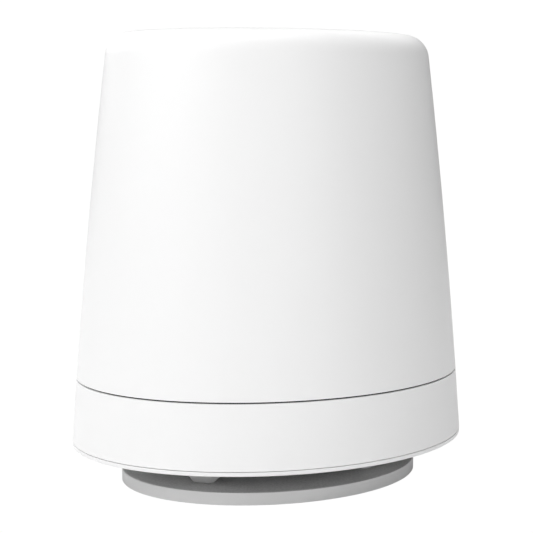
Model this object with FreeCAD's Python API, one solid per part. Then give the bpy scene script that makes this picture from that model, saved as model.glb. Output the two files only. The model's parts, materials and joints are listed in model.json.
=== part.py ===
# Tall oval wireless router: a tapered white shell over a port band, on a base plate that four short pillars
# hold clear of a low foot. The origin is on the resting plane under the middle of the body. +Z is up, the
# oval's long axis lies along X, and +Y points to the back, where the ports are. Lengths are in millimetres.

import FreeCAD
import Part
import math
import os

Vector = FreeCAD.Vector
UP = Vector(0, 0, 1)
BACKWARD = Vector(0, 1, 0)

# Outline of the body: ovals that shrink upwards along a gently bulging wall
SEAM_HALF_X = 88.0
SEAM_HALF_Y = 64.75
TOP_HALF_X = 70.1
TOP_HALF_Y = 48.1
WALL_BULGE = 1.1
BASE_SEAM_Z = 19.3
UPPER_SEAM_Z = 46.55
TOP_Z = 193.3
TOP_RADIUS = 10.5
WALL_SECTIONS = 6

# Walls and seams
WALL = 2.2
UPPER_GAP = 0.7
BASE_GAP = 0.3
SLIDING_GAP = 0.15
TOUCH = 0.05

# Foot
PAD_PROUD = 0.3
FOOT_TOP_Z = 5.6
FOOT_HALF_X = 66.8
FOOT_HALF_Y = 48.8
FOOT_ROUND = 0.5
PAD_HALF_X = 60.0
PAD_HALF_Y = 42.0
PAD_THICKNESS = 1.5
FOOT_SCREW_X = 36.0
FOOT_SCREW_Y = 24.0
FOOT_SCREW_TIP_Z = 25.0

# Outline of a pillar where it meets the foot and where it meets the base plate, for one quarter of the foot
PILLAR_LOW_OUTLINE = ((41.4, 25.2), (36.0, 28.4), (33.6, 28.0), (31.0, 21.0), (40.0, 19.0))
PILLAR_HIGH_OUTLINE = ((50.0, 33.0), (41.0, 38.0), (24.0, 36.0), (27.0, 24.0), (44.0, 16.0))

# Base plate
BASE_BOTTOM_Z = 17.4
BASE_ROUND = 0.5
FLOOR_TOP_Z = BASE_SEAM_Z - BASE_GAP / 2
LIP_TOP_Z = 21.5
LIP_INSET = 1.2
LIP_THICKNESS = 1.4
FOOT_BOSS_RADIUS = 4.0
FOOT_BOSS_TOP_Z = 27.0
FAN_POST_RADIUS = 3.2
GUIDE_HALF_X = 3.0
GUIDE_WALL = 2.4

# Screws: radii of the shaft, the head, and the holes around them
SCREW_RADIUS = 1.5
SCREW_HOLE_RADIUS = 1.7
THREAD_HOLE_RADIUS = 1.55
HEAD_RADIUS = 2.8
HEAD_HEIGHT = 2.2
COUNTERBORE_RADIUS = 3.1
DRIVE_RADIUS = 1.2
DRIVE_DEPTH = 1.3

# Shell screws: they pass through a post of the base plate and a tab of the frame into the upper shell
SHELL_SCREW_X = 67.0
SHELL_SCREW_Y = 23.0
POST_RADIUS = 4.5
POST_TOP_Z = 50.0
POST_HEAD_Z = 44.0
BOSS_TOP_Z = 74.0

# Port recess in the back of the band, and the panel at the bottom of it
RECESS_HALF_X = 50.0
RECESS_LOW_Z = 24.5
RECESS_HIGH_Z = 43.5
RECESS_ROUND = 3.0
RECESS_LINING = 1.6
PANEL_Y = 51.0
PANEL_THICKNESS = 2.0
PANEL_LEDGE = 1.3
PORT_Z = 34.0
BODY_BACK_Y = 70.0

# Main board, upright across the tower
BOARD_FRONT_Y = 31.4
BOARD_THICKNESS = 1.6
BOARD_BACK_Y = BOARD_FRONT_Y + BOARD_THICKNESS
BOARD_LOW_Z = 24.0
BOARD_HIGH_Z = 152.0
BOARD_LOW_HALF_X = 52.0
BOARD_HIGH_HALF_X = 46.0
BOARD_LOW_SCREW = (47.0, 56.0)
BOARD_HIGH_SCREW = (40.0, 145.0)
BOARD_SCREW_LENGTH = 4.6

# Things on the board: X and Z of the middle, width and height
PROCESSOR = (0.0, 92.0, 27.0, 27.0)
MEMORY_CHIPS = ((-25.0, 99.0, 13.0, 9.0), (-25.0, 85.0, 13.0, 9.0))
FLASH_CHIP = (25.0, 92.0, 12.0, 18.0)
RADIO_SHIELDS = ((-18.0, 60.0, 30.0, 22.0), (18.0, 60.0, 30.0, 22.0), (0.0, 122.0, 56.0, 18.0))
NETWORK_CHIP = (-14.0, 62.0, 14.0, 14.0)
LINE_TRANSFORMERS = ((-32.0, 49.0, 15.0, 9.0), (-14.0, 49.0, 15.0, 9.0), (4.0, 49.0, 15.0, 9.0))
POWER_COILS = ((26.0, 56.0, 8.0, 8.0), (26.0, 68.0, 8.0, 8.0), (26.0, 80.0, 8.0, 8.0))
SPREADER = (-2.0, 108.0, 52.0, 36.0)
SHIELD_SHEET = 0.3

# Capacitors, by the X and Z of their axes
CAPACITOR_PLACES = ((37.0, 66.0), (37.0, 76.0), (37.0, 86.0))
CAPACITOR_RADIUS = 3.1
CAPACITOR_HEIGHT = 7.0

# Network sockets, in line along the recess
SOCKET_XS = {"wan_jack": 11.5, "lan_jack_1": -6.8, "lan_jack_2": -23.4, "lan_jack_3": -40.0}
SOCKET_WIDTH = 16.0
SOCKET_HEIGHT = 13.5
SOCKET_FACE_Y = PANEL_Y - 0.2
SHIELD_THICKNESS = 0.3
PLUG_WIDTH = 11.9
PLUG_HEIGHT = 7.0
PLUG_DEPTH = 12.5
LATCH_WIDTH = 6.2
LATCH_HEIGHT = 1.8
LATCH_TAIL_WIDTH = 3.4
LATCH_TAIL_HEIGHT = 1.4
SOCKET_SILL = 1.5
CONTACT_PITCH = 1.02
CONTACT_COUNT = 8
CONTACT_WIDTH = 0.4

# Power inlet
INLET_X = 26.5
INLET_WIDTH = 9.0
INLET_HEIGHT = 11.0
INLET_BORE_RADIUS = 3.2
INLET_DEPTH = 9.5
INLET_PIN_RADIUS = 1.0

# Buttons, their switches and their plungers
BUTTON_X = 42.0
BUTTON_ZS = {"power": 38.2, "pair": 29.8}
BUTTON_RADIUS = 3.0
BUTTON_PROUD = 0.6
BUTTON_FLANGE_RADIUS = 3.7
BUTTON_FLANGE = 1.0
BUTTON_STEM_RADIUS = 1.5
RESET_X = 34.6
RESET_HOLE_RADIUS = 1.1
SWITCH_SIDE = 6.0
SWITCH_HEIGHT = 3.6
PLUNGER_RADIUS = 1.7
PLUNGER_TRAVEL_ROOM = 1.1
PLUNGER_TOP_Y = 38.6
RESET_PLUNGER_TOP_Y = 46.5

# Fan, flat under the heat sink
FAN_Y = -6.0
FAN_SIDE = 60.0
FAN_LOW_Z = 21.9
FAN_HIGH_Z = 36.9
FAN_BORE_RADIUS = 28.7
FAN_HOLE_OFFSET = 25.0
FAN_HUB_RADIUS = 13.0
FAN_BLADES = 7
FAN_TIP_RADIUS = 28.0
SHAFT_RADIUS = 1.0
BEARING_GAP = 0.05

# Heat sink and the chips behind it
SINK_HALF_X = 38.0
SINK_LOW_Z = 46.0
SINK_HIGH_Z = 134.0
SINK_BACK_Y = 28.2
SINK_PLATE = 4.0
SINK_FRONT_Y = -6.0
FIN_COUNT = 13
FIN_THICKNESS = 1.5
CHIP_FRONT_Y = 29.2

# Inner frame and its antennas
FRAME_INSET = 5.0
FRAME_RING = 6.0
FRAME_LOW_Z = 50.0
FRAME_RING_HEIGHT = 3.0
FRAME_HIGH_Z = 158.0
UPRIGHT_ANGLES = (40.0, 140.0, 220.0, 320.0)
UPRIGHT_THICKNESS = 2.0
UPRIGHT_WIDTH = 14.0
ANTENNA_THICKNESS = 0.8
ANTENNA_WIDTH = 11.0
ANTENNA_LOW_Z = 84.0
ANTENNA_HIGH_Z = 130.0
LEAD_RADIUS = 0.7
CONNECTOR_RADIUS = 1.5
CONNECTOR_HEIGHT = 1.6
CONNECTOR_X = 43.0
FRONT_CONNECTOR_Z = 118.0
BACK_CONNECTOR_Z = 128.0
FRAME_LUG_DEPTH = 4.0

# Light ring behind the upper seam, and its board
RING_LOW_Z = 42.0
RING_HIGH_Z = 49.5
RING_INSET = WALL + SLIDING_GAP
RING_THICKNESS = 1.6
RING_TONGUE_INSET = 1.0
LIGHT_BOARD_BACK_Y = -55.3
LIGHT_BOARD_THICKNESS = 1.2
LIGHT_BOARD_HALF_X = 14.0
LIGHT_XS = (-9.0, 0.0, 9.0)
LIGHT_CONNECTOR = Vector(4.0, BOARD_FRONT_Y, 41.0)
FAN_CONNECTOR = Vector(-42.0, BOARD_FRONT_Y, 41.0)
CONNECTOR_DEPTH = 4.0

# Air slots
FLOOR_SLOTS = 9
FLOOR_SLOT_PITCH = 5.4
FLOOR_SLOT_WIDTH = 2.6
FLOOR_SLOT_CIRCLE = 27.0
BACK_SLOT_ROWS = 9
BACK_SLOT_PITCH = 4.6
BACK_SLOT_HEIGHT = 2.2
BACK_SLOT_LOW_Z = 134.0
BACK_SLOT_WIDTH = 16.0
BACK_SLOT_COLUMNS = (-19.0, 0.0, 19.0)


# ---- Shared shapes ----

def half_sizes(z, inset=0.0):
    """Half width and half depth of the body at a height, set in from its outside."""
    share = (z - BASE_SEAM_Z) / (TOP_Z - BASE_SEAM_Z)
    bulge = 4 * WALL_BULGE * share * (1 - share)
    half_x = SEAM_HALF_X + (TOP_HALF_X - SEAM_HALF_X) * share + bulge - inset
    half_y = SEAM_HALF_Y + (TOP_HALF_Y - SEAM_HALF_Y) * share + bulge - inset
    return half_x, half_y


def oval_wire(z, half_x, half_y):
    return Part.Wire(Part.Ellipse(Vector(0, 0, z), half_x, half_y).toShape())


def oval_prism(half_x, half_y, low, high):
    """An upright oval with straight sides."""
    return Part.Face(oval_wire(low, half_x, half_y)).extrude(Vector(0, 0, high - low))


def body_slice(low, high, inset=0.0):
    """The space inside the body's wall between two heights, set in from its outside."""
    wires = []
    for step in range(WALL_SECTIONS):
        z = low + (high - low) * step / (WALL_SECTIONS - 1)
        wires.append(oval_wire(z, *half_sizes(z, inset)))
    return Part.makeLoft(wires, True)


def block(low_corner, high_corner):
    size = Vector(*high_corner) - Vector(*low_corner)
    return Part.makeBox(size.x, size.y, size.z, Vector(*low_corner))


def upright_rod(x, y, radius, low, high):
    return Part.makeCylinder(radius, high - low, Vector(x, y, low), UP)


def level_rod(x, z, radius, front, back):
    """A round bar along Y."""
    return Part.makeCylinder(radius, back - front, Vector(x, front, z), BACKWARD)


def rounded_plate(half_x, low_z, high_z, radius, front, back):
    """A plate that faces along Y, with its four corners rounded."""
    plate = block((-half_x, front, low_z), (half_x, back, high_z))
    corners = [edge for edge in plate.Edges if abs(edge.BoundBox.YLength - (back - front)) < TOUCH]
    return plate.makeFillet(radius, corners)


def level_slot(x, z, width, height, front, back):
    """A slot with round ends, cut along Y."""
    radius = height / 2
    straight = width / 2 - radius
    middle = block((x - straight, front, z - radius), (x + straight, back, z + radius))
    ends = [level_rod(x + side * straight, z, radius, front, back) for side in (-1, 1)]
    return middle.multiFuse(ends).removeSplitter()


def floor_slot(x, y, width, length, low, high):
    """A slot with round ends, cut along Z and running along Y."""
    radius = width / 2
    straight = length / 2 - radius
    middle = block((x - radius, y - straight, low), (x + radius, y + straight, high))
    ends = [upright_rod(x, y + side * straight, radius, low, high) for side in (-1, 1)]
    return middle.multiFuse(ends).removeSplitter()


def rim_edges(shape, z):
    """The edges that lie wholly at a height."""
    return [edge for edge in shape.Edges
            if abs(edge.BoundBox.ZMin - z) < TOUCH and abs(edge.BoundBox.ZMax - z) < TOUCH]


def four_places(x, y):
    return [(side * x, end * y) for side in (-1, 1) for end in (-1, 1)]


def join(shapes):
    return shapes[0].multiFuse(shapes[1:]).removeSplitter()


def upright_screw(x, y, head_low, tip):
    """A screw that points up, with a hexagonal drive in its head."""
    head = upright_rod(x, y, HEAD_RADIUS, head_low, head_low + HEAD_HEIGHT)
    shaft = upright_rod(x, y, SCREW_RADIUS, head_low + HEAD_HEIGHT, tip)
    drive = hexagon(Vector(x, y, head_low), UP, DRIVE_RADIUS, DRIVE_DEPTH)
    return head.fuse(shaft).cut(drive)


def hexagon(centre, axis, radius, depth):
    """A six-sided recess that starts at a point and runs along an axis."""
    outline = Part.makePolygon([
        Vector(radius * math.cos(math.radians(60 * k)), radius * math.sin(math.radians(60 * k)), 0)
        for k in range(7)
    ])
    recess = Part.Face(outline).extrude(Vector(0, 0, depth))
    recess.Placement = FreeCAD.Placement(centre, FreeCAD.Rotation(UP, axis))
    return recess


def round_lead(points, radius):
    """A round lead along straight runs joined by the largest tangent arcs that the runs allow."""
    edges = []
    start = points[0]
    for before, corner, after in zip(points, points[1:], points[2:]):
        incoming = (corner - before).normalize()
        outgoing = (after - corner).normalize()
        reach = 0.45 * min((corner - before).Length, (after - corner).Length)
        arc_start = corner - incoming * reach
        arc_end = corner + outgoing * reach
        half_turn = incoming.getAngle(outgoing) / 2
        bend_radius = reach / math.tan(half_turn)
        inward = (outgoing - incoming).normalize()
        middle = corner + inward * (bend_radius / math.cos(half_turn) - bend_radius)
        edges.append(Part.LineSegment(start, arc_start).toShape())
        edges.append(Part.Arc(arc_start, middle, arc_end).toShape())
        start = arc_end
    edges.append(Part.LineSegment(start, points[-1]).toShape())
    path = Part.Wire(edges)
    section = Part.Wire(Part.Circle(points[0], points[1] - points[0], radius).toShape())
    return path.makePipeShell([section], True, True)


# ---- Outside ----

def make_upper_shell():
    low = UPPER_SEAM_Z + UPPER_GAP / 2
    outside = body_slice(low, TOP_Z)
    outside = outside.makeFillet(TOP_RADIUS, rim_edges(outside, TOP_Z))
    roof = TOP_Z - WALL
    hollow = body_slice(low - WALL, roof, WALL)
    hollow = hollow.makeFillet(TOP_RADIUS - WALL, rim_edges(hollow, roof))
    bosses = []
    rib_half = 1.2
    rib_reach = 14.0
    for x, y in four_places(SHELL_SCREW_X, SHELL_SCREW_Y):
        low_z = POST_TOP_Z + FRAME_RING_HEIGHT
        bosses.append(upright_rod(x, y, POST_RADIUS, low_z, BOSS_TOP_Z))
        rib = block((0, -rib_half, low_z), (rib_reach, rib_half, BOSS_TOP_Z))
        rib.rotate(Vector(0, 0, 0), UP, math.degrees(math.atan2(y, x)))
        rib.translate(Vector(x, y, 0))
        bosses.append(rib)
    bosses = join(bosses).common(body_slice(low, BOSS_TOP_Z + WALL, WALL / 2))
    shell = outside.cut(hollow).fuse(bosses)
    holes = [upright_rod(x, y, THREAD_HOLE_RADIUS, POST_TOP_Z, BOSS_TOP_Z - WALL)
             for x, y in four_places(SHELL_SCREW_X, SHELL_SCREW_Y)]
    slots = []
    for row in range(BACK_SLOT_ROWS):
        z = BACK_SLOT_LOW_Z + row * BACK_SLOT_PITCH
        slots += [level_slot(x, z, BACK_SLOT_WIDTH, BACK_SLOT_HEIGHT, SEAM_HALF_Y / 2, BODY_BACK_Y)
                  for x in BACK_SLOT_COLUMNS]
    return shell.cut(holes + slots)


def recess_plate(growth, front):
    """The port recess as a solid, grown or shrunk all round, from a depth out past the body's back."""
    return rounded_plate(RECESS_HALF_X + growth, RECESS_LOW_Z - growth, RECESS_HIGH_Z + growth,
                         RECESS_ROUND + growth, front, BODY_BACK_Y)


def make_lower_band():
    low = BASE_SEAM_Z + BASE_GAP / 2
    high = UPPER_SEAM_Z - UPPER_GAP / 2
    outside = body_slice(low, high)
    hollow = body_slice(low - WALL, high + WALL, WALL)
    rebate = oval_prism(SEAM_HALF_X - LIP_INSET + SLIDING_GAP, SEAM_HALF_Y - LIP_INSET + SLIDING_GAP,
                        low - WALL, LIP_TOP_Z + SLIDING_GAP)
    window_front = PANEL_Y - PANEL_THICKNESS
    window = recess_plate(0, window_front)
    opening = recess_plate(-PANEL_LEDGE, BOARD_BACK_Y)
    lining = recess_plate(RECESS_LINING, window_front - RECESS_LINING)
    wall = outside.cut(hollow).cut(rebate)
    band = wall.fuse(lining.common(outside.cut(rebate)))
    return band.cut([window, opening]).removeSplitter()


def make_base_plate():
    plate = oval_prism(SEAM_HALF_X, SEAM_HALF_Y, BASE_BOTTOM_Z, FLOOR_TOP_Z)
    plate = plate.makeFillet(BASE_ROUND, rim_edges(plate, BASE_BOTTOM_Z))
    lip_outer = oval_prism(SEAM_HALF_X - LIP_INSET, SEAM_HALF_Y - LIP_INSET, FLOOR_TOP_Z - TOUCH, LIP_TOP_Z)
    lip_inset = LIP_INSET + LIP_THICKNESS
    lip_inner = oval_prism(SEAM_HALF_X - lip_inset, SEAM_HALF_Y - lip_inset, BASE_BOTTOM_Z, LIP_TOP_Z)
    solids = [plate, lip_outer.cut(lip_inner)]
    cuts = []
    for x, y in four_places(SHELL_SCREW_X, SHELL_SCREW_Y):
        solids.append(upright_rod(x, y, POST_RADIUS, BASE_BOTTOM_Z, POST_TOP_Z))
        cuts.append(upright_rod(x, y, COUNTERBORE_RADIUS, BASE_BOTTOM_Z, POST_HEAD_Z))
        cuts.append(upright_rod(x, y, SCREW_HOLE_RADIUS, BASE_BOTTOM_Z, POST_TOP_Z))
    for x, y in four_places(FOOT_SCREW_X, FOOT_SCREW_Y):
        solids.append(upright_rod(x, y, FOOT_BOSS_RADIUS, BASE_BOTTOM_Z, FOOT_BOSS_TOP_Z))
        cuts.append(upright_rod(x, y, THREAD_HOLE_RADIUS, BASE_BOTTOM_Z, FOOT_BOSS_TOP_Z - 1))
    for x, y in four_places(FAN_HOLE_OFFSET, FAN_HOLE_OFFSET):
        solids.append(upright_rod(x, y + FAN_Y, FAN_POST_RADIUS, BASE_BOTTOM_Z, FAN_LOW_Z))
        cuts.append(upright_rod(x, y + FAN_Y, THREAD_HOLE_RADIUS, BASE_BOTTOM_Z + 1, FAN_LOW_Z))
    for side in (-1, 1):
        guide, groove = board_guide(side * (BOARD_LOW_HALF_X - GUIDE_HALF_X))
        solids.append(guide)
        cuts.append(groove)
    return join(solids).cut(cuts + floor_slots())


def board_guide(middle):
    """A block on the base plate that holds a lower corner of the board, and the groove to cut in it."""
    top = BOARD_LOW_Z + GUIDE_HALF_X
    guide = block((middle - GUIDE_HALF_X, BOARD_FRONT_Y - GUIDE_WALL, BASE_BOTTOM_Z),
                  (middle + GUIDE_HALF_X, BOARD_BACK_Y + GUIDE_WALL, top))
    groove = block((middle - 2 * GUIDE_HALF_X, BOARD_FRONT_Y - TOUCH, BOARD_LOW_Z),
                   (middle + 2 * GUIDE_HALF_X, BOARD_BACK_Y + TOUCH, top))
    return guide, groove


def floor_slots():
    """The air slots under the fan, within a circle."""
    slots = []
    for index in range(FLOOR_SLOTS):
        x = (index - (FLOOR_SLOTS - 1) / 2) * FLOOR_SLOT_PITCH
        length = 2 * math.sqrt(FLOOR_SLOT_CIRCLE ** 2 - x ** 2)
        slots.append(floor_slot(x, FAN_Y, FLOOR_SLOT_WIDTH, length, BASE_BOTTOM_Z - 1, FLOOR_TOP_Z + 1))
    return slots


def make_light_ring():
    """A smoked diffuser behind the upper seam, with a tongue that closes the gap."""
    sleeve = body_slice(RING_LOW_Z, RING_HIGH_Z, RING_INSET)
    bore = body_slice(RING_LOW_Z - 1, RING_HIGH_Z + 1, RING_INSET + RING_THICKNESS)
    tongue = body_slice(UPPER_SEAM_Z - UPPER_GAP / 2, UPPER_SEAM_Z + UPPER_GAP / 2, RING_TONGUE_INSET)
    ring = sleeve.fuse(tongue).cut(bore)
    lining_top = RECESS_HIGH_Z + RECESS_LINING + SLIDING_GAP
    notch = block((-RECESS_HALF_X - 2 * RECESS_LINING, BOARD_BACK_Y, RING_LOW_Z - 1),
                  (RECESS_HALF_X + 2 * RECESS_LINING, BODY_BACK_Y, lining_top))
    return ring.cut(notch)


def pillar_outline(corners, side, end, z):
    """The outline of one pillar at a height, in the quarter of the foot that side and end name."""
    points = [Vector(side * x, end * y, z) for x, y in corners]
    return Part.makePolygon(points + points[:1])


def make_foot():
    """A low oval foot, with a recess for its pad and four pillars that flare out up to the base plate."""
    disc = oval_prism(FOOT_HALF_X, FOOT_HALF_Y, PAD_PROUD, FOOT_TOP_Z)
    disc = disc.makeFillet(FOOT_ROUND, rim_edges(disc, FOOT_TOP_Z))
    pillars = [Part.makeLoft([pillar_outline(PILLAR_LOW_OUTLINE, side, end, FOOT_TOP_Z - TOUCH),
                              pillar_outline(PILLAR_HIGH_OUTLINE, side, end, BASE_BOTTOM_Z)], True, True)
               for side in (-1, 1) for end in (-1, 1)]
    cuts = [oval_prism(PAD_HALF_X, PAD_HALF_Y, 0, PAD_THICKNESS)]
    for x, y in four_places(FOOT_SCREW_X, FOOT_SCREW_Y):
        cuts.append(upright_rod(x, y, COUNTERBORE_RADIUS, 0, PAD_THICKNESS + HEAD_HEIGHT + 1))
        cuts.append(upright_rod(x, y, SCREW_HOLE_RADIUS, 0, BASE_BOTTOM_Z))
    return join([disc] + pillars).cut(cuts)


def make_foot_pad():
    pad = oval_prism(PAD_HALF_X, PAD_HALF_Y, 0, PAD_THICKNESS)
    return pad.cut([upright_rod(x, y, COUNTERBORE_RADIUS + 1, 0, PAD_THICKNESS)
                    for x, y in four_places(FOOT_SCREW_X, FOOT_SCREW_Y)])


def make_foot_screws():
    return Part.makeCompound([upright_screw(x, y, PAD_THICKNESS + 1, FOOT_SCREW_TIP_Z)
                              for x, y in four_places(FOOT_SCREW_X, FOOT_SCREW_Y)])


def make_shell_screws():
    tip = BOSS_TOP_Z - 2 * WALL
    return Part.makeCompound([upright_screw(x, y, POST_HEAD_Z - HEAD_HEIGHT, tip)
                              for x, y in four_places(SHELL_SCREW_X, SHELL_SCREW_Y)])


def make_port_panel():
    clearance = SLIDING_GAP
    panel = rounded_plate(RECESS_HALF_X - clearance, RECESS_LOW_Z + clearance, RECESS_HIGH_Z - clearance,
                          RECESS_ROUND, PANEL_Y - PANEL_THICKNESS, PANEL_Y)
    front = PANEL_Y - 2 * PANEL_THICKNESS
    back = PANEL_Y + 1
    half_height = SOCKET_HEIGHT / 2 + clearance
    half_width = SOCKET_WIDTH / 2 + clearance
    holes = [block((x - half_width, front, PORT_Z - half_height),
                   (x + half_width, back, PORT_Z + half_height)) for x in SOCKET_XS.values()]
    half_width = INLET_WIDTH / 2 + clearance
    half_height = INLET_HEIGHT / 2 + clearance
    holes.append(block((INLET_X - half_width, front, PORT_Z - half_height),
                       (INLET_X + half_width, back, PORT_Z + half_height)))
    holes += [level_rod(BUTTON_X, z, BUTTON_RADIUS + SLIDING_GAP, front, back) for z in BUTTON_ZS.values()]
    holes.append(level_rod(RESET_X, PORT_Z, RESET_HOLE_RADIUS, front, back))
    return panel.cut(holes)


# ---- Sockets and buttons ----

def make_socket_shield(x):
    """The thin metal box round one network socket, open at its face."""
    low_z = PORT_Z - SOCKET_HEIGHT / 2
    high_z = PORT_Z + SOCKET_HEIGHT / 2
    outside = block((x - SOCKET_WIDTH / 2, BOARD_BACK_Y, low_z),
                    (x + SOCKET_WIDTH / 2, SOCKET_FACE_Y, high_z))
    inside = block((x - SOCKET_WIDTH / 2 + SHIELD_THICKNESS, BOARD_BACK_Y, low_z + SHIELD_THICKNESS),
                   (x + SOCKET_WIDTH / 2 - SHIELD_THICKNESS, SOCKET_FACE_Y, high_z - SHIELD_THICKNESS))
    return outside.cut(inside)


def make_socket_core(x):
    """The moulded block inside one socket, with the stepped hollow for a plug and its latch."""
    low_z = PORT_Z - SOCKET_HEIGHT / 2
    core = block((x - SOCKET_WIDTH / 2 + SHIELD_THICKNESS, BOARD_BACK_Y, low_z + SHIELD_THICKNESS),
                 (x + SOCKET_WIDTH / 2 - SHIELD_THICKNESS, SOCKET_FACE_Y - SHIELD_THICKNESS,
                  low_z + SOCKET_HEIGHT - SHIELD_THICKNESS))
    bottom = SOCKET_FACE_Y - PLUG_DEPTH
    steps = []
    z = low_z + SOCKET_SILL
    for width, height in ((LATCH_TAIL_WIDTH, LATCH_TAIL_HEIGHT), (LATCH_WIDTH, LATCH_HEIGHT),
                          (PLUG_WIDTH, PLUG_HEIGHT)):
        steps.append(block((x - width / 2, bottom, z), (x + width / 2, SOCKET_FACE_Y, z + height)))
        z += height
    return core.cut(join(steps))


def make_socket_cores():
    return Part.makeCompound([make_socket_core(x) for x in SOCKET_XS.values()])


def make_socket_contacts():
    """Eight sprung wires in the roof of each socket, slanting down towards the inside."""
    roof = PORT_Z - SOCKET_HEIGHT / 2 + SOCKET_SILL + LATCH_TAIL_HEIGHT + LATCH_HEIGHT + PLUG_HEIGHT
    length = 7.0
    thickness = 0.3
    drop_deg = 8.0
    wires = []
    for middle in SOCKET_XS.values():
        for index in range(CONTACT_COUNT):
            x = middle + (index - (CONTACT_COUNT - 1) / 2) * CONTACT_PITCH
            mouth = SOCKET_FACE_Y - 2.0
            wire = block((x - CONTACT_WIDTH / 2, mouth - length, roof - thickness),
                         (x + CONTACT_WIDTH / 2, mouth, roof))
            wire.rotate(Vector(x, mouth, roof), Vector(1, 0, 0), drop_deg)
            wires.append(wire)
    return Part.makeCompound(wires)


def make_power_inlet():
    inlet = block((INLET_X - INLET_WIDTH / 2, BOARD_BACK_Y, PORT_Z - INLET_HEIGHT / 2),
                  (INLET_X + INLET_WIDTH / 2, SOCKET_FACE_Y, PORT_Z + INLET_HEIGHT / 2))
    bottom = SOCKET_FACE_Y - INLET_DEPTH
    return inlet.cut(level_rod(INLET_X, PORT_Z, INLET_BORE_RADIUS, bottom, SOCKET_FACE_Y))


def make_inlet_pin():
    pin = level_rod(INLET_X, PORT_Z, INLET_PIN_RADIUS, SOCKET_FACE_Y - INLET_DEPTH, SOCKET_FACE_Y - 1)
    tip = [edge for edge in pin.Edges if abs(edge.BoundBox.YMin - (SOCKET_FACE_Y - 1)) < TOUCH]
    return pin.makeFillet(INLET_PIN_RADIUS / 2, tip)


def make_button(z):
    """A round cap in its panel hole, with a flange that stops it from behind and a stem to its switch."""
    flange_back = PANEL_Y - PANEL_THICKNESS - TOUCH
    face = PANEL_Y + BUTTON_PROUD
    cap = level_rod(BUTTON_X, z, BUTTON_RADIUS, flange_back, face)
    rim = [edge for edge in cap.Edges if abs(edge.BoundBox.YMin - face) < TOUCH]
    cap = cap.makeFillet(BUTTON_PROUD / 2, rim)
    flange = level_rod(BUTTON_X, z, BUTTON_FLANGE_RADIUS, flange_back - BUTTON_FLANGE, flange_back)
    stem = level_rod(BUTTON_X, z, BUTTON_STEM_RADIUS, PLUNGER_TOP_Y, flange_back)
    return join([cap, flange, stem])


def make_switch(x, z):
    half = SWITCH_SIDE / 2
    case = block((x - half, BOARD_BACK_Y, z - half), (x + half, BOARD_BACK_Y + SWITCH_HEIGHT, z + half))
    bore_front = BOARD_BACK_Y + SWITCH_HEIGHT - 3.0
    return case.cut(level_rod(x, z, PLUNGER_RADIUS + SLIDING_GAP, bore_front, BOARD_BACK_Y + SWITCH_HEIGHT))


def make_plunger(x, z, top):
    bottom = BOARD_BACK_Y + SWITCH_HEIGHT - 3.0 + PLUNGER_TRAVEL_ROOM
    return level_rod(x, z, PLUNGER_RADIUS, bottom, top)


# ---- Main board ----

def make_main_board():
    corners = [(-BOARD_LOW_HALF_X, BOARD_LOW_Z), (BOARD_LOW_HALF_X, BOARD_LOW_Z),
               (BOARD_HIGH_HALF_X, BOARD_HIGH_Z), (-BOARD_HIGH_HALF_X, BOARD_HIGH_Z)]
    points = [Vector(x, BOARD_FRONT_Y, z) for x, z in corners]
    board = Part.Face(Part.makePolygon(points + points[:1])).extrude(Vector(0, BOARD_THICKNESS, 0))
    holes = [level_rod(side * x, z, SCREW_HOLE_RADIUS, BOARD_FRONT_Y - 1, BOARD_BACK_Y + 1)
             for side in (-1, 1) for x, z in (BOARD_LOW_SCREW, BOARD_HIGH_SCREW)]
    return board.cut(holes)


def make_board_screws():
    """Screws from the back of the board into the frame's lugs."""
    screws = []
    for side in (-1, 1):
        for x, z in (BOARD_LOW_SCREW, BOARD_HIGH_SCREW):
            head = level_rod(side * x, z, HEAD_RADIUS, BOARD_BACK_Y, BOARD_BACK_Y + HEAD_HEIGHT)
            shaft = level_rod(side * x, z, SCREW_RADIUS, BOARD_BACK_Y - BOARD_SCREW_LENGTH, BOARD_BACK_Y)
            drive = hexagon(Vector(side * x, BOARD_BACK_Y + HEAD_HEIGHT, z), Vector(0, -1, 0), DRIVE_RADIUS,
                            DRIVE_DEPTH)
            screws.append(head.fuse(shaft).cut(drive))
    return Part.makeCompound(screws)


def front_chip(x, z, width, height):
    """A flat package on the front of the board, as tall as the pads behind the heat sink allow."""
    return block((x - width / 2, CHIP_FRONT_Y, z - height / 2),
                 (x + width / 2, BOARD_FRONT_Y, z + height / 2))


def back_part(x, z, width, height, depth):
    """A block on the back of the board."""
    return block((x - width / 2, BOARD_BACK_Y, z - height / 2),
                 (x + width / 2, BOARD_BACK_Y + depth, z + height / 2))


def make_shield(x, z, width, height):
    """A thin can over a radio, open towards the board."""
    can = front_chip(x, z, width, height)
    half_width = width / 2 - SHIELD_SHEET
    half_height = height / 2 - SHIELD_SHEET
    inside = block((x - half_width, CHIP_FRONT_Y + SHIELD_SHEET, z - half_height),
                   (x + half_width, BOARD_FRONT_Y, z + half_height))
    return can.cut(inside)


def make_thermal_pads():
    """Soft pads between the heat sink and everything that it cools."""
    pads = []
    margin = 2.0
    for x, z, width, height in (PROCESSOR,) + RADIO_SHIELDS:
        pads.append(block((x - width / 2 + margin, SINK_BACK_Y, z - height / 2 + margin),
                          (x + width / 2 - margin, CHIP_FRONT_Y, z + height / 2 - margin)))
    return Part.makeCompound(pads)


def make_heat_sink():
    plate_front = SINK_BACK_Y - SINK_PLATE
    plate = block((-SINK_HALF_X, plate_front, SINK_LOW_Z), (SINK_HALF_X, SINK_BACK_Y, SINK_HIGH_Z))
    pitch = (2 * SINK_HALF_X - FIN_THICKNESS) / (FIN_COUNT - 1)
    fins = []
    for index in range(FIN_COUNT):
        x = -SINK_HALF_X + index * pitch
        fins.append(block((x, SINK_FRONT_Y, SINK_LOW_Z), (x + FIN_THICKNESS, plate_front, SINK_HIGH_Z)))
    return join([plate] + fins)


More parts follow.
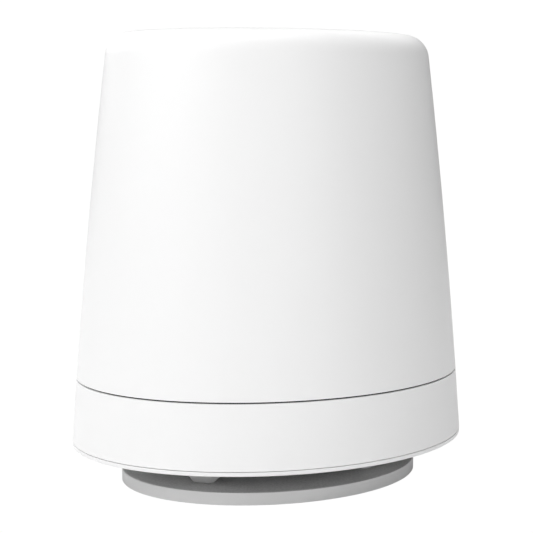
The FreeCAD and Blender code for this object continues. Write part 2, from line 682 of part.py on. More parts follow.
def make_power_coils():
    coils = []
    for place in POWER_COILS:
        coil = back_part(*place, 4.2)
        sides = [edge for edge in coil.Edges if edge.BoundBox.YLength > 1]
        coils.append(coil.makeFillet(1.5, sides))
    return Part.makeCompound(coils)


def make_capacitors():
    return Part.makeCompound([level_rod(x, z, CAPACITOR_RADIUS, BOARD_BACK_Y, BOARD_BACK_Y + CAPACITOR_HEIGHT)
                              for x, z in CAPACITOR_PLACES])


def make_spreader():
    """A folded aluminium plate behind the radios, on the back of the board."""
    thickness = 1.2
    standoff = 1.0
    x, z, width, height = SPREADER
    plate = back_part(x, z, width, height, thickness)
    plate.translate(Vector(0, standoff, 0))
    reach = (height - thickness) / 2
    legs = [back_part(x, z + side * reach, width, thickness, standoff + thickness) for side in (-1, 1)]
    return join([plate] + legs)


# ---- Fan ----

def make_fan_housing():
    half = FAN_SIDE / 2
    frame = block((-half, FAN_Y - half, FAN_LOW_Z), (half, FAN_Y + half, FAN_HIGH_Z))
    corners = [edge for edge in frame.Edges if edge.BoundBox.ZLength > 1]
    frame = frame.makeFillet(3.0, corners)
    frame = frame.cut(upright_rod(0, FAN_Y, FAN_BORE_RADIUS, FAN_LOW_Z, FAN_HIGH_Z))
    strut_top = FAN_LOW_Z + 2.0
    struts = []
    for index in range(4):
        strut = block((0, FAN_Y - 1.3, FAN_LOW_Z), (FAN_BORE_RADIUS + 0.5, FAN_Y + 1.3, strut_top))
        strut.rotate(Vector(0, FAN_Y, 0), UP, 90 * index + 45)
        struts.append(strut)
    cup = upright_rod(0, FAN_Y, FAN_HUB_RADIUS, FAN_LOW_Z, strut_top)
    tube = upright_rod(0, FAN_Y, SHAFT_RADIUS + 1.5, FAN_LOW_Z, FAN_HIGH_Z - 4)
    bearing = upright_rod(0, FAN_Y, SHAFT_RADIUS + BEARING_GAP, FAN_LOW_Z + 1, FAN_HIGH_Z)
    holes = [upright_rod(x, y + FAN_Y, SCREW_HOLE_RADIUS, FAN_LOW_Z, FAN_HIGH_Z)
             for x, y in four_places(FAN_HOLE_OFFSET, FAN_HOLE_OFFSET)]
    return join([frame, cup, tube] + struts).cut([bearing] + holes)


def make_fan_stator():
    """The wound core inside the rotor: a sleeve on the bearing tube with four poles."""
    low = FAN_LOW_Z + 2.5
    high = FAN_HIGH_Z - 4.5
    inner = SHAFT_RADIUS + 1.5
    sleeve = upright_rod(0, FAN_Y, inner + 2.0, low, high)
    poles = []
    for index in range(4):
        pole = block((0, FAN_Y - 2.2, low), (FAN_HUB_RADIUS - 4.0, FAN_Y + 2.2, high))
        pole.rotate(Vector(0, FAN_Y, 0), UP, 90 * index)
        poles.append(pole)
    return join([sleeve] + poles).cut(upright_rod(0, FAN_Y, inner, low - 1, high + 1))


def make_fan_rotor():
    """A cup-shaped hub with seven pitched blades."""
    low = FAN_LOW_Z + 3.0
    high = FAN_HIGH_Z - 1.0
    cap = 1.4
    hub = upright_rod(0, FAN_Y, FAN_HUB_RADIUS, low, high)
    hub = hub.cut(upright_rod(0, FAN_Y, FAN_HUB_RADIUS - 1.8, low, high - cap))
    blades = []
    pitch_deg = 38.0
    for index in range(FAN_BLADES):
        blade = block((FAN_HUB_RADIUS - 1.0, FAN_Y - 0.6, -6.4), (FAN_TIP_RADIUS + 2, FAN_Y + 0.6, 6.4))
        blade.rotate(Vector(0, FAN_Y, 0), Vector(1, 0, 0), pitch_deg)
        blade.translate(Vector(0, 0, (low + high) / 2))
        blade.rotate(Vector(0, FAN_Y, 0), UP, 360.0 / FAN_BLADES * index)
        blades.append(blade)
    sweep = upright_rod(0, FAN_Y, FAN_TIP_RADIUS, low, high)
    sweep = sweep.cut(upright_rod(0, FAN_Y, FAN_HUB_RADIUS - 1.0, low, high))
    blades = join([blade.common(sweep) for blade in blades])
    bore = upright_rod(0, FAN_Y, SHAFT_RADIUS, low, high)
    return join([hub, blades]).cut(bore)


def make_fan_shaft():
    return upright_rod(0, FAN_Y, SHAFT_RADIUS, FAN_LOW_Z + 1.2, FAN_HIGH_Z - 1.0)


def make_fan_screws():
    """Screws down through the fan's corners into the base plate."""
    screws = []
    for x, y in four_places(FAN_HOLE_OFFSET, FAN_HOLE_OFFSET):
        head = upright_rod(x, y + FAN_Y, HEAD_RADIUS, FAN_HIGH_Z, FAN_HIGH_Z + HEAD_HEIGHT)
        shaft = upright_rod(x, y + FAN_Y, SCREW_RADIUS, FLOOR_TOP_Z, FAN_HIGH_Z)
        head_top = Vector(x, y + FAN_Y, FAN_HIGH_Z + HEAD_HEIGHT)
        drive = hexagon(head_top, -UP, DRIVE_RADIUS, DRIVE_DEPTH)
        screws.append(head.fuse(shaft).cut(drive))
    return Part.makeCompound(screws)


# ---- Inner frame, antennas and leads ----

def frame_place(angle, depth, z):
    """A point on the middle line of one upright, a depth inwards from its outer face."""
    turn = math.radians(angle)
    low_x, low_y = half_sizes(FRAME_LOW_Z, FRAME_INSET)
    high_x, high_y = half_sizes(FRAME_HIGH_Z, FRAME_INSET)
    share = (z - FRAME_LOW_Z) / (FRAME_HIGH_Z - FRAME_LOW_Z)
    half_x = low_x + (high_x - low_x) * share
    half_y = low_y + (high_y - low_y) * share
    return Vector(half_x * math.cos(turn), half_y * math.sin(turn), z) + frame_directions(angle)[1] * depth


def frame_directions(angle):
    """The level directions along and inwards from the frame at an angle round the oval."""
    half_x, half_y = half_sizes((FRAME_LOW_Z + FRAME_HIGH_Z) / 2, FRAME_INSET)
    turn = math.radians(angle)
    across = Vector(-half_x * math.sin(turn), half_y * math.cos(turn), 0).normalize()
    return across, Vector(-across.y, across.x, 0)


def leaning_plate(angle, depth, thickness, width, low, high):
    """A flat plate that leans with the wall, between two heights."""
    across, inward = frame_directions(angle)
    outlines = []
    for z in (low, high):
        front = frame_place(angle, depth, z)
        back = frame_place(angle, depth + thickness, z)
        corners = [front - across * (width / 2), front + across * (width / 2),
                   back + across * (width / 2), back - across * (width / 2)]
        outlines.append(Part.makePolygon(corners + corners[:1]))
    return Part.makeLoft(outlines, True, True)


def frame_lugs(side):
    """The lugs on one side that hold the board, low and high, and one edge of the light board."""
    front = BOARD_FRONT_Y - FRAME_LUG_DEPTH
    low_x, low_z = BOARD_LOW_SCREW
    high_x, high_z = BOARD_HIGH_SCREW
    frame_top = FRAME_HIGH_Z + FRAME_RING_HEIGHT
    spans = (((low_x - 4, low_x + 18), (front, BOARD_FRONT_Y), (FRAME_LOW_Z, low_z + 4)),
             ((high_x - 4, high_x + 12), (front, BOARD_FRONT_Y), (high_z - 4, frame_top)),
             ((8.0, 11.0), (LIGHT_BOARD_BACK_Y, LIGHT_BOARD_BACK_Y + 3), (RING_LOW_Z, FRAME_LOW_Z + 1)))
    lugs = []
    for xs, ys, zs in spans:
        near, far = sorted(side * x for x in xs)
        lugs.append(block((near, ys[0], zs[0]), (far, ys[1], zs[1])))
    return lugs


def make_inner_frame():
    rings = []
    for low in (FRAME_LOW_Z, FRAME_HIGH_Z):
        high = low + FRAME_RING_HEIGHT
        ring = body_slice(low, high, FRAME_INSET)
        rings.append(ring.cut(body_slice(low - 1, high + 1, FRAME_INSET + FRAME_RING)))
    uprights = [leaning_plate(angle, 0, UPRIGHT_THICKNESS, UPRIGHT_WIDTH, FRAME_LOW_Z + 1, FRAME_HIGH_Z + 1)
                for angle in UPRIGHT_ANGLES]
    tabs = [upright_rod(x, y, POST_RADIUS + 1, FRAME_LOW_Z, FRAME_LOW_Z + FRAME_RING_HEIGHT)
            for x, y in four_places(SHELL_SCREW_X, SHELL_SCREW_Y)]
    holes = [upright_rod(x, y, SCREW_HOLE_RADIUS, FRAME_LOW_Z - 1, FRAME_LOW_Z + FRAME_RING_HEIGHT + 1)
             for x, y in four_places(SHELL_SCREW_X, SHELL_SCREW_Y)]
    lug_front = BOARD_FRONT_Y - FRAME_LUG_DEPTH
    holes += [level_rod(side * x, z, THREAD_HOLE_RADIUS, lug_front - 1, BOARD_FRONT_Y)
              for side in (-1, 1) for x, z in (BOARD_LOW_SCREW, BOARD_HIGH_SCREW)]
    return join(rings + uprights + tabs + frame_lugs(-1) + frame_lugs(1)).cut(holes)


def make_antenna(angle):
    """A printed antenna on the inside of an upright, split by a slot down its middle."""
    depth = UPRIGHT_THICKNESS
    board = leaning_plate(angle, depth, ANTENNA_THICKNESS, ANTENNA_WIDTH, ANTENNA_LOW_Z, ANTENNA_HIGH_Z)
    slot = leaning_plate(angle, depth - 1, ANTENNA_THICKNESS + 2, 1.2, ANTENNA_LOW_Z + 8, ANTENNA_HIGH_Z + 1)
    return board.cut(slot)


def connector_place(angle):
    """Where the lead of an antenna meets the front of the board. Those of the back antennas are higher."""
    side = 1 if math.cos(math.radians(angle)) > 0 else -1
    is_back = math.sin(math.radians(angle)) > 0
    return Vector(side * CONNECTOR_X, BOARD_FRONT_Y, BACK_CONNECTOR_Z if is_back else FRONT_CONNECTOR_Z)


def make_antenna_connectors():
    places = [connector_place(angle) for angle in UPRIGHT_ANGLES]
    return Part.makeCompound([Part.makeCylinder(CONNECTOR_RADIUS, CONNECTOR_HEIGHT, place, -BACKWARD)
                              for place in places])


def make_antenna_lead(angle):
    """A thin coaxial lead from the foot of an antenna to its connector."""
    inward = frame_directions(angle)[1]
    start = frame_place(angle, UPRIGHT_THICKNESS + ANTENNA_THICKNESS + SLIDING_GAP, ANTENNA_LOW_Z + 4)
    end = connector_place(angle) - BACKWARD * CONNECTOR_HEIGHT
    side = 1 if end.x > 0 else -1
    if start.y > 0:
        middle = [start + inward * 4.5 + UP, Vector(side * 49.5, 25, 101), Vector(side * 45, 23, 116),
                  end - BACKWARD * 5]
    else:
        middle = [start + inward * 7 + UP, Vector(side * 51, -12, 98), Vector(side * 47, 8, 110),
                  end - BACKWARD * 7]
    return round_lead([start] + middle + [end], LEAD_RADIUS)


# ---- Light and small leads ----

def make_light_board():
    front = LIGHT_BOARD_BACK_Y - LIGHT_BOARD_THICKNESS
    return block((-LIGHT_BOARD_HALF_X, front, RING_LOW_Z),
                 (LIGHT_BOARD_HALF_X, LIGHT_BOARD_BACK_Y, RING_HIGH_Z - 1))


def make_lights():
    """Flat lights on the front of their board, level with the seam."""
    back = LIGHT_BOARD_BACK_Y - LIGHT_BOARD_THICKNESS
    front = back - 0.8
    half_width = 1.2
    half_height = 1.0
    return Part.makeCompound([block((x - half_width, front, UPPER_SEAM_Z - half_height),
                                    (x + half_width, back, UPPER_SEAM_Z + half_height)) for x in LIGHT_XS])


def make_lead_connectors():
    half = Vector(3.0, 0, 2.5)
    return Part.makeCompound([block(place - half - BACKWARD * CONNECTOR_DEPTH, place + half)
                              for place in (LIGHT_CONNECTOR, FAN_CONNECTOR)])


def make_light_lead():
    start = Vector(0, LIGHT_BOARD_BACK_Y, 44.0)
    points = [start, start + BACKWARD * 8, Vector(2, -25, 42.0), Vector(2, 5, 42.0), Vector(4, 18, 41.0),
              LIGHT_CONNECTOR - BACKWARD * CONNECTOR_DEPTH]
    return round_lead(points, LEAD_RADIUS)


def make_fan_lead():
    start = Vector(-FAN_SIDE / 2, FAN_Y, 30.0)
    points = [start, start + Vector(-9, 0, 0), Vector(-43, 4, 36.0), Vector(-42, 16, 41.0),
              FAN_CONNECTOR - BACKWARD * CONNECTOR_DEPTH]
    return round_lead(points, LEAD_RADIUS)


# ---- Files ----

def build_nodes():
    nodes = {
        "upper_shell": make_upper_shell(),
        "lower_band": make_lower_band(),
        "base_plate": make_base_plate(),
        "light_ring": make_light_ring(),
        "foot": make_foot(),
        "foot_pad": make_foot_pad(),
        "foot_screws": make_foot_screws(),
        "shell_screws": make_shell_screws(),
        "port_panel": make_port_panel(),
        "socket_cores": make_socket_cores(),
        "socket_contacts": make_socket_contacts(),
        "power_inlet": make_power_inlet(),
        "inlet_pin": make_inlet_pin(),
        "reset_switch": make_switch(RESET_X, PORT_Z),
        "reset_plunger": make_plunger(RESET_X, PORT_Z, RESET_PLUNGER_TOP_Y),
        "main_board": make_main_board(),
        "board_screws": make_board_screws(),
        "processor": front_chip(*PROCESSOR),
        "memory_chips": Part.makeCompound([front_chip(*chip) for chip in MEMORY_CHIPS]),
        "flash_chip": front_chip(*FLASH_CHIP),
        "radio_shields": Part.makeCompound([make_shield(*shield) for shield in RADIO_SHIELDS]),
        "thermal_pads": make_thermal_pads(),
        "heat_sink": make_heat_sink(),
        "network_chip": back_part(*NETWORK_CHIP, 1.1),
        "line_transformers": Part.makeCompound([back_part(*place, 4.0) for place in LINE_TRANSFORMERS]),
        "power_coils": make_power_coils(),
        "capacitors": make_capacitors(),
        "heat_spreader": make_spreader(),
        "fan_housing": make_fan_housing(),
        "fan_stator": make_fan_stator(),
        "fan_rotor": make_fan_rotor(),
        "fan_shaft": make_fan_shaft(),
        "fan_screws": make_fan_screws(),
        "fan_lead": make_fan_lead(),
        "inner_frame": make_inner_frame(),
        "antenna_connectors": make_antenna_connectors(),
        "light_board": make_light_board(),
        "lights": make_lights(),
        "light_lead": make_light_lead(),
        "lead_connectors": make_lead_connectors(),
    }
    for name, x in SOCKET_XS.items():
        nodes[name] = make_socket_shield(x)
    for name, z in BUTTON_ZS.items():
        nodes[name + "_button"] = make_button(z)
        nodes[name + "_switch"] = make_switch(BUTTON_X, z)
        nodes[name + "_plunger"] = make_plunger(BUTTON_X, z, PLUNGER_TOP_Y)
    for number, angle in enumerate(UPRIGHT_ANGLES, 1):
        nodes["antenna_" + str(number)] = make_antenna(angle)
        nodes["antenna_lead_" + str(number)] = make_antenna_lead(angle)
    return nodes


def main():
    os.makedirs("parts", exist_ok=True)
    for name, shape in build_nodes().items():
        shape.exportStep("parts/" + name + ".step")


main()
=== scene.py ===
# The look of a tall oval wireless router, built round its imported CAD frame. Lengths are in metres.

import json
import math

import bpy
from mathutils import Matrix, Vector

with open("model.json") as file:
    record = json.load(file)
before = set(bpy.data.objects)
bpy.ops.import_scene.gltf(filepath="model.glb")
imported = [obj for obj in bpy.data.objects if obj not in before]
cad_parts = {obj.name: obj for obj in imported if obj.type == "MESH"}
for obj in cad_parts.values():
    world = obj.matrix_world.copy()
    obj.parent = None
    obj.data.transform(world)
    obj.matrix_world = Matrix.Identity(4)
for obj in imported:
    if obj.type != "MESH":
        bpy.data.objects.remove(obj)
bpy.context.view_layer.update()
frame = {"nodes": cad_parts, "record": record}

MM = 0.001

# Camera: direction round the object, height above the horizon, distance and lens
CAMERA_AZIMUTH = math.radians(-17.19)
CAMERA_ELEVATION = math.radians(7.31)
CAMERA_DISTANCE = 0.5241
CAMERA_TARGET = Vector((-1.51 * MM, 0.47 * MM, 92.47 * MM))
CAMERA_LENS = 80.13
SENSOR_WIDTH = 36.0

# Stage: the brightness seen round the object, the floor's half width, and its distance below the pad
BACKGROUND_GLOW = 1.02
FLOOR_HALF_WIDTH = 6.0
FLOOR_CLEARANCE = 0.02 * MM


# ---- Nodes shared by the materials ----

class Surface:
    """A material under construction: its node tree, its shader, and its place on the object in metres."""

    def __init__(self, name, roughness, metallic=0.0, specular=0.5):
        self.material = bpy.data.materials.new(name)
        self.material.use_nodes = True
        self.tree = self.material.node_tree
        self.shader = self.tree.nodes["Principled BSDF"]
        self.shader.inputs["Metallic"].default_value = metallic
        self.shader.inputs["Roughness"].default_value = roughness
        self.shader.inputs["Specular IOR Level"].default_value = specular
        self.place = self.add("ShaderNodeTexCoord").outputs["Object"]
        self.normal = None

    def add(self, kind, **values):
        node = self.tree.nodes.new(kind)
        for key, value in values.items():
            setattr(node, key, value)
        return node

    def link(self, source, target):
        self.tree.links.new(source, target)

    def stretched(self, factors):
        """The place with each axis scaled."""
        node = self.add("ShaderNodeMapping")
        node.inputs["Scale"].default_value = factors
        self.link(self.place, node.inputs["Vector"])
        return node.outputs["Vector"]

    def noise(self, size, detail=2.0, roughness=0.5, place=None):
        """Soft noise from 0 to 1, with features of about that size."""
        node = self.add("ShaderNodeTexNoise")
        node.inputs["Scale"].default_value = 1.0 / size
        node.inputs["Detail"].default_value = detail
        node.inputs["Roughness"].default_value = roughness
        self.link(place or self.place, node.inputs["Vector"])
        return node.outputs["Fac"]

    def cells(self, size):
        """Distance to the nearest of many scattered points."""
        node = self.add("ShaderNodeTexVoronoi")
        node.inputs["Scale"].default_value = 1.0 / size
        self.link(self.place, node.inputs["Vector"])
        return node.outputs["Distance"]

    def spread(self, value, low, high, from_low=0.0, from_high=1.0):
        """A value moved from one range to another, and kept inside it."""
        node = self.add("ShaderNodeMapRange")
        node.inputs["From Min"].default_value = from_low
        node.inputs["From Max"].default_value = from_high
        node.inputs["To Min"].default_value = low
        node.inputs["To Max"].default_value = high
        self.link(value, node.inputs["Value"])
        return node.outputs["Result"]

    def blend(self, share, low_colour, high_colour):
        """A colour between two, by a share from 0 to 1. Either colour may come from another node."""
        node = self.add("ShaderNodeMix", data_type="RGBA")
        for socket, colour in ((node.inputs[6], low_colour), (node.inputs[7], high_colour)):
            if isinstance(colour, tuple):
                socket.default_value = colour + (1.0,)
            else:
                self.link(colour, socket)
        self.link(share, node.inputs[0])
        return node.outputs[2]

    def bump(self, height, depth, strength=1.0):
        """Relief of a real depth, over any relief added before."""
        node = self.add("ShaderNodeBump")
        node.inputs["Strength"].default_value = strength
        node.inputs["Distance"].default_value = depth
        self.link(height, node.inputs["Height"])
        if self.normal is not None:
            self.link(self.normal, node.inputs["Normal"])
        self.normal = node.outputs["Normal"]
        self.link(self.normal, self.shader.inputs["Normal"])

    def colour(self, source):
        self.link(source, self.shader.inputs["Base Color"])

    def roughness(self, source):
        self.link(source, self.shader.inputs["Roughness"])


def shade(colour, factor):
    return tuple(min(1.0, channel * factor) for channel in colour)


def moulded_plastic(name, colour, roughness=0.42, grain=0.35 * MM, depth=0.006 * MM, mottle=0.02):
    """Injection-moulded plastic with a spark-eroded grain and faint flow marks."""
    surface = Surface(name, roughness)
    flow = surface.noise(26 * MM, 3.0, 0.55, surface.stretched((1.0, 1.0, 0.45)))
    surface.colour(surface.blend(flow, shade(colour, 1 - mottle), shade(colour, 1 + mottle)))
    pits = surface.cells(grain)
    surface.roughness(surface.spread(pits, roughness - 0.05, roughness + 0.06))
    surface.bump(surface.noise(9 * MM, 2.0), 0.02 * MM, 0.35)
    surface.bump(surface.noise(grain, 3.0, 0.6), depth)
    surface.bump(pits, depth * 0.6)
    return surface.material


def foot_plastic(name, rim, face):
    """Pale moulded plastic whose upward faces carry a painted shade: darker, picked out by the direction
    of the face, where the body above shades the foot's top. They are also rougher and finely speckled.
    """
    surface = Surface(name, 0.5, specular=0.35)
    flow = surface.noise(26 * MM, 3.0)
    side = surface.blend(flow, shade(rim, 0.98), shade(rim, 1.02))
    speckle = surface.noise(0.9 * MM, 4.0, 0.7)
    # Painted shade: the darker colour of upward faces stands for the shadow that the body casts on the
    # foot's top
    painted_shade_top = surface.blend(speckle, shade(face, 0.55), shade(face, 1.45))
    geometry = surface.add("ShaderNodeNewGeometry")
    upright = surface.add("ShaderNodeSeparateXYZ")
    surface.link(geometry.outputs["True Normal"], upright.inputs[0])
    # The share of painted shade grows as a face turns upward; the same share also makes the face rougher
    upward = surface.spread(upright.outputs["Z"], 0.0, 1.0, 0.75, 0.98)
    surface.colour(surface.blend(upward, side, painted_shade_top))
    surface.roughness(surface.spread(upward, 0.5, 0.8))
    surface.bump(speckle, 0.012 * MM)
    return surface.material


def smoked_plastic(name):
    """Dark see-through plastic with a fine matt face."""
    surface = Surface(name, 0.45, specular=0.2)
    haze = surface.noise(4 * MM, 3.0)
    surface.colour(surface.blend(haze, (0.004, 0.004, 0.004), (0.009, 0.009, 0.010)))
    surface.roughness(surface.spread(haze, 0.38, 0.52))
    surface.bump(surface.noise(1.2 * MM, 2.0), 0.004 * MM)
    return surface.material


def rubber(name):
    """Dusty black rubber with a fine pebbled face."""
    surface = Surface(name, 0.85, specular=0.3)
    dust = surface.noise(6 * MM, 4.0, 0.6)
    surface.colour(surface.blend(dust, (0.030, 0.030, 0.031), (0.052, 0.051, 0.050)))
    surface.roughness(surface.spread(dust, 0.75, 0.92))
    surface.bump(surface.cells(0.6 * MM), 0.03 * MM)
    return surface.material


def sheet_metal(name, colour, roughness, stretch):
    """Rolled or drawn metal: fine lines along one axis, and uneven brightness."""
    surface = Surface(name, roughness, metallic=1.0)
    lines = surface.noise(0.12 * MM, 2.0, 0.6, surface.stretched(stretch))
    cloud = surface.noise(7 * MM, 3.0)
    surface.colour(surface.blend(cloud, shade(colour, 0.9), shade(colour, 1.06)))
    surface.roughness(surface.spread(lines, roughness - 0.08, roughness + 0.1))
    surface.bump(lines, 0.003 * MM)
    return surface.material


def plated_metal(name, colour, roughness=0.28):
    """Small plated pieces, such as screws and pins: fine scuffs and tumbling marks."""
    surface = Surface(name, roughness, metallic=1.0)
    scuffs = surface.noise(0.5 * MM, 4.0, 0.65)
    surface.colour(surface.blend(scuffs, shade(colour, 0.85), shade(colour, 1.08)))
    surface.roughness(surface.spread(scuffs, roughness - 0.08, roughness + 0.14))
    surface.bump(scuffs, 0.004 * MM)
    return surface.material


def circuit_laminate(name, mask, raised):
    """Solder mask over copper: narrow tracks stand out from the ground and are a little lighter."""
    surface = Surface(name, 0.34, specular=0.5)
    tracks = surface.add("ShaderNodeTexBrick", offset=0.5)
    for socket, value in (("Scale", 1.0), ("Mortar Size", 0.10 * MM), ("Brick Width", 4.2 * MM),
                          ("Row Height", 0.9 * MM), ("Mortar Smooth", 0.1)):
        tracks.inputs[socket].default_value = value
    turned = surface.add("ShaderNodeMapping")
    turned.inputs["Rotation"].default_value = (math.radians(90), 0, 0)
    surface.link(surface.place, turned.inputs["Vector"])
    surface.link(turned.outputs["Vector"], tracks.inputs["Vector"])
    weave = surface.noise(0.7 * MM, 2.0)
    ground = surface.blend(weave, shade(mask, 0.9), shade(mask, 1.12))
    surface.colour(surface.blend(tracks.outputs["Fac"], ground, raised))
    surface.roughness(surface.spread(weave, 0.28, 0.42))
    surface.bump(tracks.outputs["Fac"], 0.03 * MM)
    return surface.material


def moulded_epoxy(name, colour=(0.022, 0.022, 0.024)):
    """The dull, slightly sparkling black of a chip package."""
    surface = Surface(name, 0.55, specular=0.4)
    filler = surface.noise(0.18 * MM, 3.0, 0.7)
    surface.colour(surface.blend(filler, shade(colour, 0.75), shade(colour, 1.5)))
    surface.roughness(surface.spread(filler, 0.48, 0.66))
    surface.bump(filler, 0.006 * MM)
    return surface.material


def wound_wire(name):
    """Enamelled copper wire in turns. The bands repeat about three times in the band length."""
    surface = Surface(name, 0.3, metallic=1.0)
    turns = surface.add("ShaderNodeTexWave", bands_direction="Z")
    band_length = 6 * MM
    turns.inputs["Scale"].default_value = 1.0 / band_length
    turns.inputs["Distortion"].default_value = 0.4
    surface.link(surface.place, turns.inputs["Vector"])
    surface.colour(surface.blend(turns.outputs["Fac"], (0.30, 0.10, 0.04), (0.72, 0.34, 0.16)))
    surface.bump(turns.outputs["Fac"], 0.08 * MM)
    return surface.material


def soft_sleeve(name, colour):
    """The sleeve of a thin lead: satin, with faint ripples along it."""
    surface = Surface(name, 0.5, specular=0.4)
    ripples = surface.noise(0.8 * MM, 2.0)
    surface.colour(surface.blend(ripples, shade(colour, 0.8), shade(colour, 1.2)))
    surface.roughness(surface.spread(ripples, 0.42, 0.6))
    surface.bump(ripples, 0.01 * MM)
    return surface.material


def clear_epoxy(name):
    """The cast lens of a light, off."""
    surface = Surface(name, 0.15, specular=0.5)
    body = surface.noise(0.6 * MM, 2.0)
    surface.colour(surface.blend(body, (0.78, 0.76, 0.60), (0.90, 0.88, 0.74)))
    surface.roughness(surface.spread(body, 0.1, 0.22))
    surface.bump(body, 0.01 * MM)
    return surface.material


WHITE = (0.86, 0.86, 0.86)
MATERIALS = {
    "white_plastic": moulded_plastic("white_satin_plastic", WHITE, 0.40, mottle=0.006),
    # The second colour is the painted shade on the foot's top, standing for the shadow under the body
    "foot_plastic": foot_plastic("pale_foot_plastic_painted_shade_top", (0.72, 0.72, 0.72), (0.42, 0.42, 0.42)),
    "pad_rubber": rubber("pad_rubber"),
    "smoked_plastic": smoked_plastic("smoked_diffuser"),
    "panel_plastic": moulded_plastic("grey_panel_plastic", (0.30, 0.30, 0.31), 0.55,
                                     grain=0.45 * MM, depth=0.012 * MM),
    "button_plastic": moulded_plastic("button_plastic", (0.80, 0.80, 0.80), 0.38),
    "black_plastic": moulded_plastic("black_filled_plastic", (0.018, 0.018, 0.019), 0.5),
    "frame_plastic": moulded_plastic("dark_frame_plastic", (0.055, 0.055, 0.06), 0.5),
    "screw_steel": plated_metal("zinc_screw", (0.58, 0.58, 0.56)),
    "shield_steel": sheet_metal("tinned_sheet", (0.72, 0.72, 0.70), 0.3, (0.1, 1.0, 1.0)),
    "contact_gold": plated_metal("gold_contact", (0.83, 0.60, 0.26), 0.2),
    "board_laminate": circuit_laminate("green_laminate", (0.010, 0.075, 0.030), (0.030, 0.150, 0.065)),
    "antenna_laminate": circuit_laminate("black_laminate", (0.012, 0.013, 0.014), (0.035, 0.036, 0.038)),
    "chip_epoxy": moulded_epoxy("chip_epoxy"),
    "sink_aluminium": sheet_metal("extruded_aluminium", (0.76, 0.77, 0.78), 0.36, (1.0, 1.0, 0.05)),
    "pad_silicone": soft_sleeve("thermal_silicone", (0.22, 0.32, 0.42)),
    "coil_ferrite": moulded_epoxy("coil_ferrite", (0.07, 0.07, 0.075)),
    "capacitor_can": sheet_metal("capacitor_can", (0.55, 0.56, 0.58), 0.3, (1.0, 0.1, 1.0)),
    "stator_copper": wound_wire("stator_windings"),
    "lead_sleeve": soft_sleeve("lead_sleeve", (0.02, 0.02, 0.02)),
    "connector_nylon": moulded_plastic("natural_nylon", (0.70, 0.67, 0.58), 0.45),
    "light_lens": clear_epoxy("light_lens"),
}


def dress_nodes():
    """Gives every CAD node the material of its slot."""
    slots = {part["node"]: part["material_slot"] for part in frame["record"]["subparts"]}
    for name, node in frame["nodes"].items():
        node.data.materials.clear()
        node.data.materials.append(MATERIALS[slots[name]])


# ---- Stage, light and camera ----

def lit_for_camera(tree, seen, felt):
    """A shader that is one thing to the camera and another to the light that falls on the object."""
    path = tree.nodes.new("ShaderNodeLightPath")
    mix = tree.nodes.new("ShaderNodeMixShader")
    tree.links.new(path.outputs["Is Camera Ray"], mix.inputs[0])
    tree.links.new(felt, mix.inputs[1])
    tree.links.new(seen, mix.inputs[2])
    return mix.outputs[0]


def plain_floor():
    """A large pale floor just clear of the pad. It glows to the camera, so that no shadow shows."""
    half = FLOOR_HALF_WIDTH
    low = -FLOOR_CLEARANCE
    mesh = bpy.data.meshes.new("floor")
    corners = [(-half, -half, low), (half, -half, low), (half, half, low), (-half, half, low)]
    mesh.from_pydata(corners, [], [(0, 1, 2, 3)])
    floor = bpy.data.objects.new("floor", mesh)
    bpy.context.scene.collection.objects.link(floor)
    surface = Surface("pale_floor", 0.9, specular=0.1)
    surface.colour(surface.blend(surface.noise(0.4), (0.80, 0.80, 0.80), (0.82, 0.82, 0.82)))
    glow = surface.add("ShaderNodeEmission")
    glow.inputs["Strength"].default_value = BACKGROUND_GLOW
    output = surface.tree.nodes["Material Output"]
    shader = lit_for_camera(surface.tree, glow.outputs[0], surface.shader.outputs[0])
    surface.link(shader, output.inputs["Surface"])
    mesh.materials.append(surface.material)


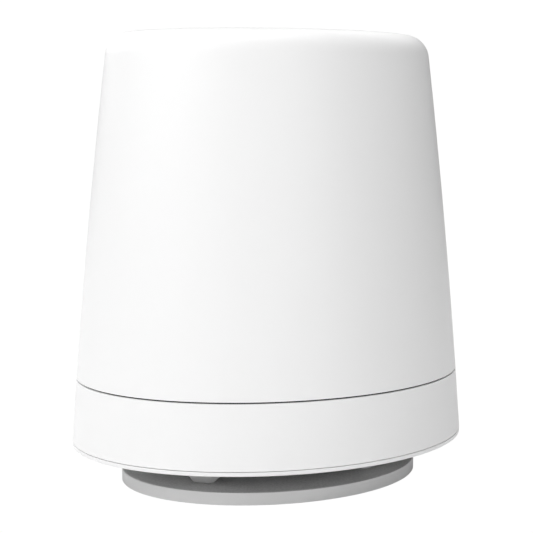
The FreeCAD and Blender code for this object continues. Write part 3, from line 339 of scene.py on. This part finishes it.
def soft_light(name, azimuth, elevation, distance, size, power):
    """A square soft box that faces the middle of the object."""
    light = bpy.data.lights.new(name, "AREA")
    light.shape = "SQUARE"
    light.size = size
    light.energy = power
    holder = bpy.data.objects.new(name, light)
    a = math.radians(azimuth)
    e = math.radians(elevation)
    direction = Vector((math.sin(a) * math.cos(e), -math.cos(a) * math.cos(e), math.sin(e)))
    holder.location = CAMERA_TARGET + direction * distance
    holder.rotation_mode = "QUATERNION"
    holder.rotation_quaternion = (-direction).to_track_quat("-Z", "Y")
    bpy.context.scene.collection.objects.link(holder)


# Light: the fill from all round, then each soft box's name, azimuth and height in degrees, distance,
# size and power
WORLD_FILL = 0.1
LIGHTS = (
    ("light_left", -75, 35, 2.2, 1.4, 16),
    ("light_front_left", -45, 30, 2.2, 1.4, 14),
    ("light_front", 10, 15, 2.2, 1.4, 10),
    ("light_back_left", -150, 30, 2.2, 1.4, 18),
    ("light_back_right", 130, 45, 2.2, 1.4, 10),
    ("light_top", -20, 85, 2.0, 1.4, 20),
)


def light_stage():
    world = bpy.data.worlds.new("studio")
    bpy.context.scene.world = world
    world.use_nodes = True
    tree = world.node_tree
    tree.nodes.clear()
    output = tree.nodes.new("ShaderNodeOutputWorld")
    seen = tree.nodes.new("ShaderNodeBackground")
    seen.inputs["Color"].default_value = (1.0, 1.0, 1.0, 1.0)
    seen.inputs["Strength"].default_value = BACKGROUND_GLOW
    felt = tree.nodes.new("ShaderNodeBackground")
    felt.inputs["Color"].default_value = (1.0, 1.0, 1.0, 1.0)
    felt.inputs["Strength"].default_value = WORLD_FILL
    tree.links.new(lit_for_camera(tree, seen.outputs[0], felt.outputs[0]), output.inputs["Surface"])
    for light in LIGHTS:
        soft_light(*light)
    bpy.context.scene.view_settings.view_transform = "Standard"


def place_camera():
    data = bpy.data.cameras.new("camera")
    data.lens = CAMERA_LENS
    data.sensor_width = SENSOR_WIDTH
    camera = bpy.data.objects.new("camera", data)
    level = math.cos(CAMERA_ELEVATION)
    back = Vector((math.sin(CAMERA_AZIMUTH) * level, -math.cos(CAMERA_AZIMUTH) * level,
                   math.sin(CAMERA_ELEVATION)))
    camera.location = CAMERA_TARGET + back * CAMERA_DISTANCE
    camera.rotation_mode = "QUATERNION"
    camera.rotation_quaternion = (-back).to_track_quat("-Z", "Y")
    bpy.context.scene.collection.objects.link(camera)
    bpy.context.scene.camera = camera


dress_nodes()
plain_floor()
light_stage()
place_camera()
